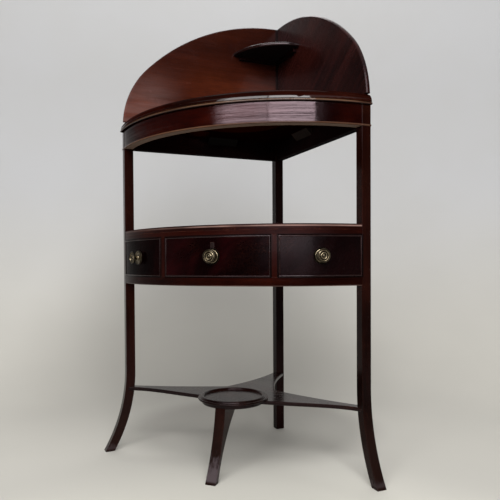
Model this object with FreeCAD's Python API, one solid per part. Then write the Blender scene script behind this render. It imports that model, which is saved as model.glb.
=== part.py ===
import FreeCAD, Part
import math
import os
from FreeCAD import Vector

# Bow-fronted corner washstand, in millimetres.
# The stand is laid out from the vertical line where its two back walls meet.
# In the wall frame that line is Z, the left wall runs along +X and the right wall along +Y.
# Turned into the stand frame, the bow faces -Y and left and right mirror each other in X.

# Plan
wall_length = 443.5          # corner line to the outer face of a front leg, and the bow's radius
leg_width = 22.5
rail_thick = 18.0            # the two rails under the top, along the walls
frieze_thick = 20.0          # the curved rail under the top's front edge

# Heights above the floor
platform_top = 158.0
tier_underside = 421.0
frieze_underside = 759.5
top_underside = 804.5

# Front legs: straight shanks that sweep outwards as sabre feet
foot_splay = 54.0
foot_bend_height = 200.0
arris = 1.0                  # narrow bevel along a leg's and a foot's edges

# Centre foot under the platform
centre_foot_reach = 463.0    # corner line to the toe
centre_foot_width = 24.0
centre_foot_toe = 16.0
centre_foot_head = 72.0      # length of the foot where it meets the platform
centre_foot_front_sag = 7.5
centre_foot_back_sag = 13.5

# Platform between the legs, with its turned dish
platform_thick = 8.5
dish_setback = 338.0         # corner line to the dish's centre
platform_round_radius = 72.0
arm_end_half_width = 13.0
arm_front_hollow = 28.0      # how far the front edge's first handle swings back
arm_front_swell = 9.0        # how far its second handle swings forward of the dish's centre
arm_front_hollow_share = 0.25    # where those handles lie along the front edge
arm_front_swell_share = 0.67
arm_inset_share = 0.5        # where the front edge runs under the round, of the round's radius
arm_rear_sag = 7.0
back_arm_half_width = 15.0
back_arm_sag = 10.5
crotch_half_width = 65.0
crotch_setback = 228.0
crotch_radius = 12.0
platform_bevel = 1.5

# Turned dish for the jug
dish_radius = 81.0
dish_hollow_radius = 66.5
dish_floor = 3.5
dish_rim_height = 9.0
dish_step_height = 5.0
dish_step_width = 5.5

# Drawer tier
tier_bottom_thick = 19.5
drawer_opening = 88.5
tier_rail_height = 11.0
tier_rail_depth = 28.0
tier_top_thick = 12.5
tier_edge_round = 2.0
panel_thick = 10.0
divider_thick = 14.0
divider_half_gap = 126.0     # centre line to the inner face of a divider

# Drawer fronts, real and false, with their cock beads
front_thick = 22.0
bead_width = 3.0
bead_depth = 8.0
bead_proud = 1.5
bead_round_share = 0.46      # how much of a bead's width its rounded nose takes from each side
front_gap = 0.8

# Drawer box
drawer_side_thick = 8.0
drawer_back_thick = 8.0
drawer_bottom_thick = 6.0
drawer_bottom_lift = 8.0     # underside of the bottom panel above the sides' lower edge
groove_depth = 3.5
drawer_side_drop = 6.0       # the sides stand this much lower than the opening
drawer_back_room = 11.0      # room between the drawer's back corners and the wall panels
run_clearance = 0.3
stop_width = 40.0
stop_length = 20.0
stop_height = 5.0
stop_gap = 0.4
stop_offset = 60.0           # centre line to the middle of a stop

# Let-in piece that fills the old keyhole
patch_width = 9.0
patch_height = 16.0
patch_depth = 4.0
patch_top_margin = 10.0

# Brass knobs
rose_radius = 17.5
rose_thick = 1.6
rose_rim_width = 3.0
rose_rim_height = 1.2
knob_radius = 15.0
knob_neck_radius = 6.5
knob_waist_height = 6.0
knob_waist_radius = 4.9
knob_rim_height = 3.4
knob_head_height = 18.0      # face of the drawer to the top of the knob's rim
knob_face_dish = 1.8
knob_ring_radius = 8.2
knob_ring_width = 2.6
knob_ring_height = 1.0
knob_boss_radius = 4.5
knob_boss_height = 3.6
shank_radius = 3.0
shank_clearance = 0.15
shank_run = 8.0              # shank that shows behind the front
nut_radius = 7.0
nut_thick = 4.0

# Top with a moulded edge
top_thick = 26.0
lip_overhang = 6.0
lip_height = 4.5
quirk_depth = 4.0
quirk_height = 1.5
ovolo_proud = 4.0
ovolo_set_back = 19.5
basin_hole_radius = 112.0
basin_hole_setback = 300.0
cup_hole_radius = 32.0
cup_hole_half_spacing = 143.0
cup_hole_setback = 226.0

# Bead along the frieze's lower edge
frieze_bead_height = 4.0
frieze_bead_proud = 1.6

# Glue blocks behind the top's wall rails
glue_block_size = 16.0
glue_block_length = 80.0
glue_block_middle = 180.0    # corner line to the middle of a block

# Splash boards and their corner shelf
splash_thick = 10.0
splash_height = 299.5        # above the top, at the corner
shoulder_radius = 215.0
shoulder_drop = 12.0         # the shoulder's centre lies this far below the top's surface
splash_bevel = 2.5
shelf_radius = 143.0
shelf_thick = 9.0
shelf_rise = 205.0           # top's surface to the shelf's underside
shelf_round = 3.8
cleat_size = 9.0
cleat_length = 107.0

# One overrun serves every cut
overrun = 5.0

# Heights that follow
tier_floor = tier_underside + tier_bottom_thick
opening_top = tier_floor + drawer_opening
tier_board_underside = opening_top + tier_rail_height
tier_surface = tier_board_underside + tier_top_thick
top_surface = top_underside + top_thick
platform_underside = platform_top - platform_thick
frieze_height = top_underside - frieze_underside
knob_height = tier_floor + drawer_opening / 2
false_front_angle = (math.asin((divider_half_gap + divider_thick) / wall_length)
                     + math.radians(45) - math.asin(leg_width / wall_length)) / 2

up = Vector(0, 0, 1)
corner = Vector(0, 0, 0)
os.makedirs("parts", exist_ok=True)


def write(name, shape):
    # the finished part's origin is on the floor, midway between the corner line and the toe
    placed = shape.copy()
    placed.translate(Vector(0, centre_foot_reach / 2, 0))
    placed.exportStep("parts/" + name + ".step")


def from_walls(shape):
    # wall frame to stand frame
    placed = shape.copy()
    placed.rotate(corner, up, -135)
    return placed


def mirrored(shape):
    return shape.mirror(corner, Vector(1, 0, 0))


def line(start, end):
    return Part.LineSegment(start, end).toShape()


def arc(start, middle, end):
    return Part.Arc(start, middle, end).toShape()


def sagged(start, end, sag):
    # arc over a chord, bulging to the left of the way from start to end
    way = (end - start).normalize()
    middle = (start + end) * 0.5 + Vector(-way.y, way.x, 0) * sag
    return arc(start, middle, end)


def solid_from(edges, depth):
    return Part.Face(Part.Wire(edges)).extrude(depth)


def quarter_disc(radius, bottom, thick):
    return Part.makeCylinder(radius, thick, Vector(0, 0, bottom), up, 90)


def bow_band(inner, outer, bottom, height):
    # curved band over the whole quarter circle, in the stand frame
    hollow = Part.makeCylinder(inner, height + 2 * overrun, Vector(0, 0, bottom - overrun))
    return from_walls(quarter_disc(outer, bottom, height).cut(hollow))


def slab(left, right, bottom, top):
    # everything in front of the corner line between two upright planes and two heights
    reach = wall_length + centre_foot_reach
    return Part.makeBox(right - left, reach, top - bottom, Vector(left, -reach, bottom))


def between_legs(bottom, top):
    # the space between the front legs' inner side faces
    span = wall_length + lip_overhang
    return from_walls(Part.makeBox(span, span, top - bottom, Vector(leg_width, leg_width, bottom)))


# Legs and feet

sweep = (foot_bend_height ** 2 + foot_splay ** 2) / (2 * foot_splay)


def foot_shift(height):
    # how far the sweep has carried a front leg outwards at a height below the bend
    return sweep - math.sqrt(sweep ** 2 - (foot_bend_height - height) ** 2)


def front_leg_left():
    # the sweep runs on below the floor, the edges are bevelled, then the foot is cut off level
    def on_sweep(height):
        return Vector(wall_length + foot_shift(height), 0, height)

    shift = Vector(leg_width, 0, 0)
    head = Vector(wall_length, 0, top_underside)
    knee = on_sweep(foot_bend_height)
    middle = on_sweep(foot_bend_height / 2)
    tip = on_sweep(-overrun)
    edges = [line(head, knee),
             arc(knee, middle, tip),
             line(tip, tip - shift),
             arc(tip - shift, middle - shift, knee - shift),
             line(knee - shift, head - shift),
             line(head - shift, head)]
    leg = solid_from(edges, Vector(0, leg_width, 0))
    long_edges = [edge for edge in leg.Edges if edge.BoundBox.ZLength > leg_width]
    leg = leg.makeChamfer(arris, long_edges)
    below = Part.makeBox(2 * wall_length, 2 * wall_length, 2 * overrun,
                         Vector(0, -wall_length, -2 * overrun))
    return from_walls(leg.cut(below))


def back_leg():
    leg = Part.makeBox(leg_width, leg_width, top_underside)
    front_edge = [edge for edge in leg.Edges
                  if edge.BoundBox.ZLength > leg_width
                  and min(edge.CenterOfMass.x, edge.CenterOfMass.y) > leg_width / 2]
    return from_walls(leg.makeFillet(arris, front_edge))


def centre_foot():
    half = centre_foot_width / 2
    head_front = Vector(-half, -dish_setback - platform_round_radius, platform_underside)
    head_back = head_front + Vector(0, centre_foot_head, 0)
    toe = Vector(-half, -centre_foot_reach, 0)
    heel = toe + Vector(0, centre_foot_toe, 0)

    def swept(start, end, sag):
        way = (end - start).normalize()
        middle = (start + end) * 0.5 + Vector(0, way.z, -way.y) * sag
        return arc(start, middle, end)

    edges = [swept(head_front, toe, -centre_foot_front_sag),
             line(toe, heel),
             swept(heel, head_back, -centre_foot_back_sag),
             line(head_back, head_front)]
    foot = solid_from(edges, Vector(centre_foot_width, 0, 0))
    long_edges = [edge for edge in foot.Edges if edge.BoundBox.ZLength > centre_foot_width]
    return foot.makeChamfer(arris, long_edges)


# Platform and dish

def platform(legs):
    leg_middle = leg_width / 2
    leg_reach = wall_length - leg_middle + foot_shift(platform_top)
    leg_x = (leg_reach - leg_middle) / math.sqrt(2)
    leg_y = -(leg_reach + leg_middle) / math.sqrt(2)
    end_front = Vector(leg_x, leg_y - arm_end_half_width, platform_underside)
    end_rear = Vector(leg_x, leg_y + arm_end_half_width, platform_underside)
    inset = platform_round_radius * arm_inset_share
    round_front = Vector(inset, -dish_setback, platform_underside)
    crotch = Vector(crotch_half_width, -crotch_setback, platform_underside)
    back_end = Vector(back_arm_half_width, -leg_width / math.sqrt(2), platform_underside)

    def flip(point):
        return Vector(-point.x, point.y, point.z)

    def front_edge(start, end):
        # ogee: swings back beside the leg, then forward into the round
        run = end.x - start.x
        first = start + Vector(run * arm_front_hollow_share, arm_front_hollow, 0)
        second = Vector(start.x + run * arm_front_swell_share, end.y - arm_front_swell, end.z)
        front = Part.BezierCurve()
        front.setPoles([start, first, second, end])
        return front.toShape()

    half = [front_edge(end_front, round_front),
            line(end_front, end_rear),
            sagged(crotch, end_rear, -arm_rear_sag),
            sagged(back_end, crotch, -back_arm_sag)]
    other = [front_edge(flip(end_front), flip(round_front)),
             line(flip(end_front), flip(end_rear)),
             sagged(flip(end_rear), flip(crotch), -arm_rear_sag),
             sagged(flip(crotch), flip(back_end), -back_arm_sag)]
    closing = [line(round_front, flip(round_front)), line(back_end, flip(back_end))]
    outline = Part.Wire(Part.__sortEdges__(half + other + closing))
    plate = Part.Face(outline).extrude(Vector(0, 0, platform_thick))
    crotch_edges = [edge for edge in plate.Edges
                    if edge.BoundBox.ZLength > platform_thick / 2
                    and abs(edge.CenterOfMass.y + crotch_setback) < crotch_radius]
    plate = plate.makeFillet(crotch_radius, crotch_edges)
    middle = Part.makeCylinder(platform_round_radius, platform_thick,
                               Vector(0, -dish_setback, platform_underside))
    plate = plate.fuse(middle).removeSplitter()
    rims = [edge for edge in plate.Edges
            if edge.BoundBox.ZLength < platform_thick / 2 and edge.Length > 2 * arm_end_half_width]
    return plate.makeChamfer(platform_bevel, rims).cut(legs)


def jug_dish():
    rim_top = platform_top + dish_rim_height
    step_top = platform_top + dish_step_height
    floor = platform_top + dish_floor
    step_inner = dish_radius - dish_step_width
    rim_middle = (step_inner + dish_hollow_radius) / 2

    def at(radius, height):
        return Vector(radius, 0, height)

    edges = [line(at(0, platform_top), at(dish_radius - dish_step_width / 2, platform_top)),
             arc(at(dish_radius - dish_step_width / 2, platform_top),
                 at(dish_radius, platform_top + dish_step_height / 2),
                 at(dish_radius - dish_step_width / 2, step_top)),
             line(at(dish_radius - dish_step_width / 2, step_top), at(step_inner, step_top)),
             arc(at(step_inner, step_top), at(rim_middle, rim_top), at(dish_hollow_radius, step_top)),
             line(at(dish_hollow_radius, step_top), at(dish_hollow_radius, floor)),
             line(at(dish_hollow_radius, floor), at(0, floor)),
             line(at(0, floor), at(0, platform_top))]
    dish = Part.Face(Part.Wire(edges)).revolve(corner, up, 360)
    dish.translate(Vector(0, -dish_setback, 0))
    return dish


# Top, rails and splash boards

def top_board():
    def at(radius, height):
        return Vector(wall_length + radius, 0, top_underside + height)

    nose = lip_height / 2
    ovolo_start = lip_height + quirk_height
    ovolo_height = top_thick - ovolo_start
    ovolo_radius = (ovolo_set_back ** 2 + ovolo_height ** 2) / (2 * ovolo_set_back)
    half_turn = math.atan2(ovolo_height, ovolo_radius - ovolo_set_back) / 2
    ovolo_middle = at(ovolo_proud - ovolo_radius * (1 - math.cos(half_turn)),
                      ovolo_start + ovolo_radius * math.sin(half_turn))
    quirk = lip_overhang - quirk_depth
    low_corner = Vector(0, 0, top_underside)
    high_corner = Vector(0, 0, top_surface)
    edges = [line(low_corner, at(lip_overhang - nose, 0)),
             arc(at(lip_overhang - nose, 0), at(lip_overhang, nose), at(lip_overhang - nose, lip_height)),
             line(at(lip_overhang - nose, lip_height), at(quirk, lip_height)),
             line(at(quirk, lip_height), at(quirk, ovolo_start)),
             line(at(quirk, ovolo_start), at(ovolo_proud, ovolo_start)),
             arc(at(ovolo_proud, ovolo_start), ovolo_middle,
                 at(ovolo_proud - ovolo_set_back, top_thick)),
             line(at(ovolo_proud - ovolo_set_back, top_thick), high_corner),
             line(high_corner, low_corner)]
    board = from_walls(Part.Face(Part.Wire(edges)).revolve(corner, up, 90))
    holes = [(0, basin_hole_setback, basin_hole_radius),
             (cup_hole_half_spacing, cup_hole_setback, cup_hole_radius),
             (-cup_hole_half_spacing, cup_hole_setback, cup_hole_radius)]
    for side, setback, radius in holes:
        board = board.cut(Part.makeCylinder(radius, top_thick + 2 * overrun,
                                            Vector(side, -setback, top_underside - overrun)))
    return board


def top_rail_left():
    return from_walls(Part.makeBox(wall_length - 2 * leg_width, rail_thick, frieze_height,
                                   Vector(leg_width, 0, frieze_underside)))


def frieze_rail():
    band = bow_band(wall_length - frieze_thick, wall_length, frieze_underside, frieze_height)
    return band.common(between_legs(frieze_underside, top_underside))


def frieze_bead():
    # half-round bead along the frieze, carried straight across the two legs
    low = Vector(wall_length, 0, frieze_underside)
    high = low + Vector(0, 0, frieze_bead_height)
    nose = low + Vector(frieze_bead_proud, 0, frieze_bead_height / 2)
    section = Part.Face(Part.Wire([arc(low, nose, high), line(high, low)]))
    curved = from_walls(section.revolve(corner, up, 90))
    curved = curved.common(between_legs(frieze_underside, frieze_underside + frieze_bead_height))
    straight = from_walls(section.extrude(Vector(0, leg_width, 0)))
    return curved.fuse([straight, mirrored(straight)]).removeSplitter()


def glue_block_left():
    # three-sided block in the angle between the top and a wall rail
    start = Vector(glue_block_middle - glue_block_length / 2, rail_thick, top_underside)
    out = start + Vector(0, glue_block_size, 0)
    down = start - Vector(0, 0, glue_block_size)
    block = solid_from([line(start, out), line(out, down), line(down, start)],
                       Vector(glue_block_length, 0, 0))
    return from_walls(block)


def splash_board_left():
    # two tangent arcs: a wide crown from the corner and a tighter shoulder at the outer end
    rise = splash_height + shoulder_drop
    shoulder_x = wall_length - shoulder_radius
    crown_radius = ((shoulder_x ** 2 + rise ** 2 - shoulder_radius ** 2)
                    / (2 * (rise - shoulder_radius)))
    crown_z = top_surface + splash_height - crown_radius
    shoulder_z = top_surface - shoulder_drop
    join_angle = math.atan2(shoulder_z - crown_z, shoulder_x)
    end_angle = math.asin(shoulder_drop / shoulder_radius)

    def on_crown(angle):
        return Vector(crown_radius * math.cos(angle), 0, crown_z + crown_radius * math.sin(angle))

    def on_shoulder(angle):
        return Vector(shoulder_x + shoulder_radius * math.cos(angle), 0,
                      shoulder_z + shoulder_radius * math.sin(angle))

    upright = math.radians(90)
    peak = Vector(0, 0, top_surface + splash_height)
    join = on_crown(join_angle)
    outer = on_shoulder(end_angle)
    base = Vector(0, 0, top_surface)
    edges = [arc(peak, on_crown((upright + join_angle) / 2), join),
             arc(join, on_shoulder((join_angle + end_angle) / 2), outer),
             line(outer, base),
             line(base, peak)]
    board = solid_from(edges, Vector(0, splash_thick, 0))
    curved = [edge for edge in board.Edges
              if edge.BoundBox.YLength < splash_thick / 2 and edge.BoundBox.XLength > splash_thick
              and edge.BoundBox.ZLength > splash_thick]
    board = board.makeChamfer(splash_bevel, curved)
    span = splash_thick + 2 * overrun
    start = Vector(-overrun, -overrun, top_surface - overrun)
    across = start + Vector(span, span, 0)
    beside = start + Vector(0, span, 0)
    mitre = solid_from([line(start, across), line(across, beside), line(beside, start)],
                       Vector(0, 0, splash_height + 2 * overrun))
    return from_walls(board.cut(mitre))


def corner_shelf():
    underside = top_surface + shelf_rise
    shelf = quarter_disc(shelf_radius, underside, shelf_thick)
    shelf = shelf.common(Part.makeBox(shelf_radius, shelf_radius, shelf_thick,
                                      Vector(splash_thick, splash_thick, underside)))
    nose = [edge for edge in shelf.Edges
            if edge.BoundBox.XLength > splash_thick and edge.BoundBox.YLength > splash_thick]
    return from_walls(shelf.makeFillet(shelf_round, nose))


def shelf_cleat_left():
    start = splash_thick + cleat_size
    return from_walls(Part.makeBox(cleat_length, cleat_size, cleat_size,
                                   Vector(start, splash_thick,
                                          top_surface + shelf_rise - cleat_size)))


# Drawer tier

def leg_notches(bottom, height):
    # square cut-outs where the three legs pass
    far = wall_length - leg_width
    span = leg_width + overrun
    deep = height + 2 * overrun
    low = bottom - overrun
    places = [Vector(far, -overrun, low), Vector(-overrun, far, low), Vector(-overrun, -overrun, low)]
    return [from_walls(Part.makeBox(span, span, deep, place)) for place in places]


def tier_board(bottom, thick, rounded_height):
    # quarter round let in between the three legs, with one rounded front edge
    board = from_walls(quarter_disc(wall_length, bottom, thick))
    rim = [edge for edge in board.Edges
           if edge.BoundBox.XLength > wall_length and edge.BoundBox.ZLength < thick / 2
           and abs(edge.CenterOfMass.z - rounded_height) < thick / 4]
    board = board.makeFillet(tier_edge_round, rim)
    return board.cut(leg_notches(bottom, thick))


def tier_front_rail():
    band = bow_band(wall_length - tier_rail_depth, wall_length, opening_top, tier_rail_height)
    return band.common(between_legs(opening_top, tier_board_underside))


def tier_panel_left():
    return from_walls(Part.makeBox(wall_length - 2 * leg_width, panel_thick,
                                   tier_board_underside - tier_floor,
                                   Vector(leg_width, 0, tier_floor)))


def inside_panels(bottom, top):
    # the space in front of the two wall panels
    return from_walls(Part.makeBox(wall_length, wall_length, top - bottom,
                                   Vector(panel_thick, panel_thick, bottom)))


def divider_left(front_rail):
    outer = -divider_half_gap - divider_thick
    board = from_walls(quarter_disc(wall_length, tier_floor, tier_board_underside - tier_floor))
    board = board.common(slab(outer, -divider_half_gap, tier_floor, tier_board_underside))
    board = board.common(inside_panels(tier_floor, tier_board_underside))
    return board.cut(front_rail)


def fronted(inner, outer, left, right, bottom, top):
    # curved board between two upright planes
    return bow_band(inner, outer, bottom, top - bottom).common(slab(left, right, bottom, top))


def false_front_left():
    # fills its opening at the back; the front face is set in for the bead and its shadow line
    back = wall_length - front_thick
    seat = wall_length - bead_depth
    far = -wall_length
    near = -divider_half_gap - divider_thick
    body = fronted(back, seat, far, near, tier_floor, opening_top)
    body = body.common(between_legs(tier_floor, opening_top))
    margin = front_gap + bead_width
    field = bow_band(seat, wall_length, tier_floor + margin, drawer_opening - 2 * margin)
    field = field.common(slab(far, near - margin, tier_floor, opening_top))
    field = field.common(beside_leg(leg_width + margin))
    return body.fuse(field).removeSplitter()


def beside_leg(setback):
    # the space in front of an upright plane that runs parallel to the left wall
    span = wall_length + lip_overhang
    return from_walls(Part.makeBox(span, span, top_underside, Vector(0, setback, 0)))


def rounded_bead(frame):
    # both edges of the frame's front face, so that its nose is nearly half round
    front = wall_length + bead_proud
    nose = [edge for edge in frame.Edges
            if all(abs(math.hypot(end.X, end.Y) - front) < bead_proud / 2 for end in edge.Vertexes)]
    return frame.makeFillet(bead_width * bead_round_share, nose)


def false_bead_left():
    seat = wall_length - bead_depth
    near = -divider_half_gap - divider_thick
    margin = front_gap + bead_width

    def block(inset):
        band = bow_band(seat, wall_length + bead_proud, tier_floor + inset, drawer_opening - 2 * inset)
        band = band.common(slab(-wall_length, near - inset, tier_floor, opening_top))
        return band.common(beside_leg(leg_width + inset))

    return rounded_bead(block(front_gap).cut(block(margin)))


def drawer_front():
    half = divider_half_gap - front_gap
    low = tier_floor + front_gap
    high = opening_top - front_gap
    back = wall_length - front_thick
    seat = wall_length - bead_depth
    body = fronted(back, seat, -half, half, low, high)
    field = fronted(seat, wall_length, bead_width - half, half - bead_width,
                    low + bead_width, high - bead_width)
    return body.fuse(field).removeSplitter()


def drawer_bead():
    half = divider_half_gap - front_gap
    low = tier_floor + front_gap
    high = opening_top - front_gap
    seat = wall_length - bead_depth
    proud = wall_length + bead_proud
    outer = fronted(seat, proud, -half, half, low, high)
    inner = fronted(seat, proud, bead_width - half, half - bead_width,
                    low + bead_width, high - bead_width)
    return rounded_bead(outer.cut(inner))


def drawer_back_y():
    # where the drawer's back corners clear the wall panels
    half = divider_half_gap - front_gap
    return -half - panel_thick * math.sqrt(2) - drawer_back_room


def drawer_bottom():
    half = divider_half_gap - front_gap - drawer_side_thick + groove_depth
    low = tier_floor + run_clearance + drawer_bottom_lift
    back = drawer_back_y()
    board = from_walls(quarter_disc(wall_length - front_thick + groove_depth, low, drawer_bottom_thick))
    length = wall_length + back
    return board.common(Part.makeBox(2 * half, length, drawer_bottom_thick,
                                     Vector(-half, -wall_length, low)))


def drawer_side_left(bottom_panel):
    half = divider_half_gap - front_gap
    low = tier_floor + run_clearance
    high = opening_top - drawer_side_drop
    board = from_walls(quarter_disc(wall_length - front_thick, low, high - low))
    board = board.common(Part.makeBox(drawer_side_thick, wall_length + drawer_back_y(), high - low,
                                      Vector(-half, -wall_length, low)))
    return board.cut(bottom_panel)


def drawer_back():
    half = divider_half_gap - front_gap - drawer_side_thick
    low = tier_floor + run_clearance + drawer_bottom_lift + drawer_bottom_thick
    high = opening_top - drawer_side_drop
    return Part.makeBox(2 * half, drawer_back_thick, high - low,
                        Vector(-half, drawer_back_y() - drawer_back_thick, low))


def drawer_stop_left():
    # block on the tier's floor that the drawer's front closes against
    outer = stop_offset + stop_width / 2
    front = -math.sqrt((wall_length - front_thick) ** 2 - outer ** 2) + stop_gap
    return Part.makeBox(stop_width, stop_length, stop_height, Vector(-outer, front, tier_floor))


def keyhole_patch():
    high = opening_top - front_gap - bead_width - patch_top_margin
    half = patch_width / 2
    return fronted(wall_length - patch_depth, wall_length, -half, half, high - patch_height, high)


# Knobs, turned about +X and then set on the bow

def turned(points_and_arcs):
    return Part.Face(Part.Wire(points_and_arcs)).revolve(corner, Vector(1, 0, 0), 360)


def along(height, radius):
    return Vector(height, radius, 0)


def knob():
    # neck, rolled rim, sunk face with a raised ring, and a domed boss
    rim_low = knob_head_height - knob_rim_height
    face = knob_head_height - knob_face_dish
    rim_middle = (rim_low + knob_head_height) / 2
    rim_edge = knob_radius - knob_rim_height / 2
    ring_outer = knob_ring_radius + knob_ring_width / 2
    ring_inner = knob_ring_radius - knob_ring_width / 2
    dome = (knob_boss_radius ** 2 + knob_boss_height ** 2) / (2 * knob_boss_height)
    half_turn = math.atan2(knob_boss_radius, dome - knob_boss_height) / 2
    boss_top = face + knob_boss_height
    tail = -front_thick - shank_run
    edges = [line(along(tail, 0), along(tail, shank_radius)),
             line(along(tail, shank_radius), along(rose_thick, shank_radius)),
             line(along(rose_thick, shank_radius), along(rose_thick, knob_neck_radius)),
             arc(along(rose_thick, knob_neck_radius), along(knob_waist_height, knob_waist_radius),
                 along(rim_low, rim_edge)),
             arc(along(rim_low, rim_edge), along(rim_middle, knob_radius),
                 along(knob_head_height, rim_edge)),
             line(along(knob_head_height, rim_edge), along(face, rim_edge - knob_face_dish)),
             line(along(face, rim_edge - knob_face_dish), along(face, ring_outer)),
             arc(along(face, ring_outer), along(face + knob_ring_height, knob_ring_radius),
                 along(face, ring_inner)),
             line(along(face, ring_inner), along(face, knob_boss_radius)),
             arc(along(face, knob_boss_radius),
                 along(boss_top - dome + dome * math.cos(half_turn), dome * math.sin(half_turn)),
                 along(boss_top, 0)),
             line(along(boss_top, 0), along(tail, 0))]
    return turned(edges)


def knob_rose():
    crest = rose_thick + rose_rim_height
    rim_inner = rose_radius - rose_rim_width
    bore = shank_radius + shank_clearance
    edges = [line(along(0, bore), along(0, rose_radius)),
             line(along(0, rose_radius), along(rose_thick, rose_radius)),
             arc(along(rose_thick, rose_radius), along(crest, rose_radius - rose_rim_width / 2),
                 along(rose_thick, rim_inner)),
             line(along(rose_thick, rim_inner), along(rose_thick, bore)),
             line(along(rose_thick, bore), along(0, bore))]
    return turned(edges)


def knob_nut():
    # the nut's rim bears on the hollow back of the front
    back = wall_length - front_thick
    seat = math.sqrt(back ** 2 - nut_radius ** 2) - wall_length
    edges = [line(along(seat, shank_radius), along(seat, nut_radius)),
             line(along(seat, nut_radius), along(seat - nut_thick, nut_radius)),
             line(along(seat - nut_thick, nut_radius), along(seat - nut_thick, shank_radius)),
             line(along(seat - nut_thick, shank_radius), along(seat, shank_radius))]
    return turned(edges)


def on_bow(shape, angle):
    # set a turned piece on the bow, at an angle from straight ahead, positive to the right
    placed = shape.copy()
    placed.translate(Vector(wall_length, 0, knob_height))
    placed.rotate(corner, up, math.degrees(angle) - 90)
    return placed


def shank_hole(angle):
    hole = Part.makeCylinder(shank_radius + shank_clearance, front_thick + 2 * overrun,
                             Vector(-front_thick - overrun, 0, 0), Vector(1, 0, 0))
    return on_bow(hole, angle)


left_leg = front_leg_left()
right_leg = mirrored(left_leg)
rear_leg = back_leg()
all_legs = [left_leg, right_leg, rear_leg]
write("front_leg_left", left_leg)
write("front_leg_right", right_leg)
write("back_leg", rear_leg)
write("centre_foot", centre_foot())
write("platform", platform(all_legs))
write("jug_dish", jug_dish())

write("top_board", top_board())
write("frieze_rail", frieze_rail())
write("frieze_bead", frieze_bead())
write("corner_shelf", corner_shelf())
write("tier_top_board", tier_board(tier_board_underside, tier_top_thick, tier_surface))
write("tier_bottom_board", tier_board(tier_underside, tier_bottom_thick, tier_underside))
curved_rail = tier_front_rail()
write("tier_front_rail", curved_rail)

side_hole = shank_hole(-false_front_angle)
pairs = {"top_rail": top_rail_left(),
         "splash_board": splash_board_left(),
         "shelf_cleat": shelf_cleat_left(),
         "glue_block": glue_block_left(),
         "tier_panel": tier_panel_left(),
         "divider": divider_left(curved_rail),
         "false_front": false_front_left().cut(side_hole),
         "false_bead": false_bead_left(),
         "drawer_stop": drawer_stop_left(),
         "knob": on_bow(knob(), -false_front_angle),
         "knob_rose": on_bow(knob_rose(), -false_front_angle),
         "knob_nut": on_bow(knob_nut(), -false_front_angle)}
for name, shape in pairs.items():
    write(name + "_left", shape)
    write(name + "_right", mirrored(shape))

bottom_panel = drawer_bottom()
box_side = drawer_side_left(bottom_panel)
patch = keyhole_patch()
write("drawer_front", drawer_front().cut(bottom_panel).cut(patch).cut(shank_hole(0)))
write("drawer_bead", drawer_bead())
write("drawer_bottom", bottom_panel)
write("drawer_side_left", box_side)
write("drawer_side_right", mirrored(box_side))
write("drawer_back", drawer_back())
write("keyhole_patch", patch)
write("knob_centre", on_bow(knob(), 0))
write("knob_rose_centre", on_bow(knob_rose(), 0))
write("knob_nut_centre", on_bow(knob_nut(), 0))
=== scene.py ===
import math
import bpy
import numpy as np
from mathutils import Matrix, Vector


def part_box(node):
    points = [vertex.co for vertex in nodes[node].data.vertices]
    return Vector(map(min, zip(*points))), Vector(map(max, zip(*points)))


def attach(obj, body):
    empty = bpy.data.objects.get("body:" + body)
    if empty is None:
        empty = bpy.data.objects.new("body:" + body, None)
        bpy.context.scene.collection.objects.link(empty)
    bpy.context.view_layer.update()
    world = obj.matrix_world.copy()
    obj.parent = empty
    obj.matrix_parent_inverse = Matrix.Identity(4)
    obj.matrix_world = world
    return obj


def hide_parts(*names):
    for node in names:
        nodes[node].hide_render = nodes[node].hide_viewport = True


# corner washstand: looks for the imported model, in metres, bow towards -Y, wall corner at the back

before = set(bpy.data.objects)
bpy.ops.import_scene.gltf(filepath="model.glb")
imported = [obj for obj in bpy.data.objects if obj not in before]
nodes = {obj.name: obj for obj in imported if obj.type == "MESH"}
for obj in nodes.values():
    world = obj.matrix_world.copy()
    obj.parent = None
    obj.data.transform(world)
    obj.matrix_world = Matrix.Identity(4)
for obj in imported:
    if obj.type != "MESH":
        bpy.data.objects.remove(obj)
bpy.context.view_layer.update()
print("frame loaded,", len(nodes), "nodes")

# the bow is a quarter circle about the wall corner, through the drawer's face
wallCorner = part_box("top_board")[1][1]
bow = {"centreY": wallCorner, "radius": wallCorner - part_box("drawer_front")[0][1],
       "skin": (-0.008, -0.004)}  # depths behind the bow over which marks on its face set in


# small helpers for shader trees
def put(tree, kind, feeds=None, **settings):
    # one node, its settings, and what feeds its sockets: a socket is linked, a value is set
    made = tree.nodes.new("ShaderNode" + kind)
    for key, value in settings.items():
        setattr(made, key, value)
    for key, source in (feeds or {}).items():
        if isinstance(source, bpy.types.NodeSocket):
            tree.links.new(source, made.inputs[key])
        else:
            made.inputs[key].default_value = source
    return made


def calc(tree, operation, a, b=0.0, clamp=False):
    return put(tree, "Math", {0: a, 1: b}, operation=operation, use_clamp=clamp).outputs[0]


def times(tree, a, b):
    return calc(tree, "MULTIPLY", a, b)


def addShare(tree, total, value, share):
    return calc(tree, "ADD", total, times(tree, value, share))


def vectorCalc(tree, operation, a, b=(0.0, 0.0, 0.0), output="Vector"):
    return put(tree, "VectorMath", {0: a, 1: b}, operation=operation).outputs[output]


def scaled(tree, place, size):
    return vectorCalc(tree, "MULTIPLY", place, size)


def parts(tree, place):
    return put(tree, "SeparateXYZ", {0: place}).outputs


def mixColour(tree, factor, a, b):
    return put(tree, "Mix", {0: factor, 6: a, 7: b}, data_type="RGBA").outputs[2]


def ranged(tree, value, low, high, toLow=0.0, toHigh=1.0):
    feeds = {"Value": value, "From Min": low, "From Max": high, "To Min": toLow, "To Max": toHigh}
    return put(tree, "MapRange", feeds, interpolation_type="SMOOTHSTEP").outputs[0]


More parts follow.
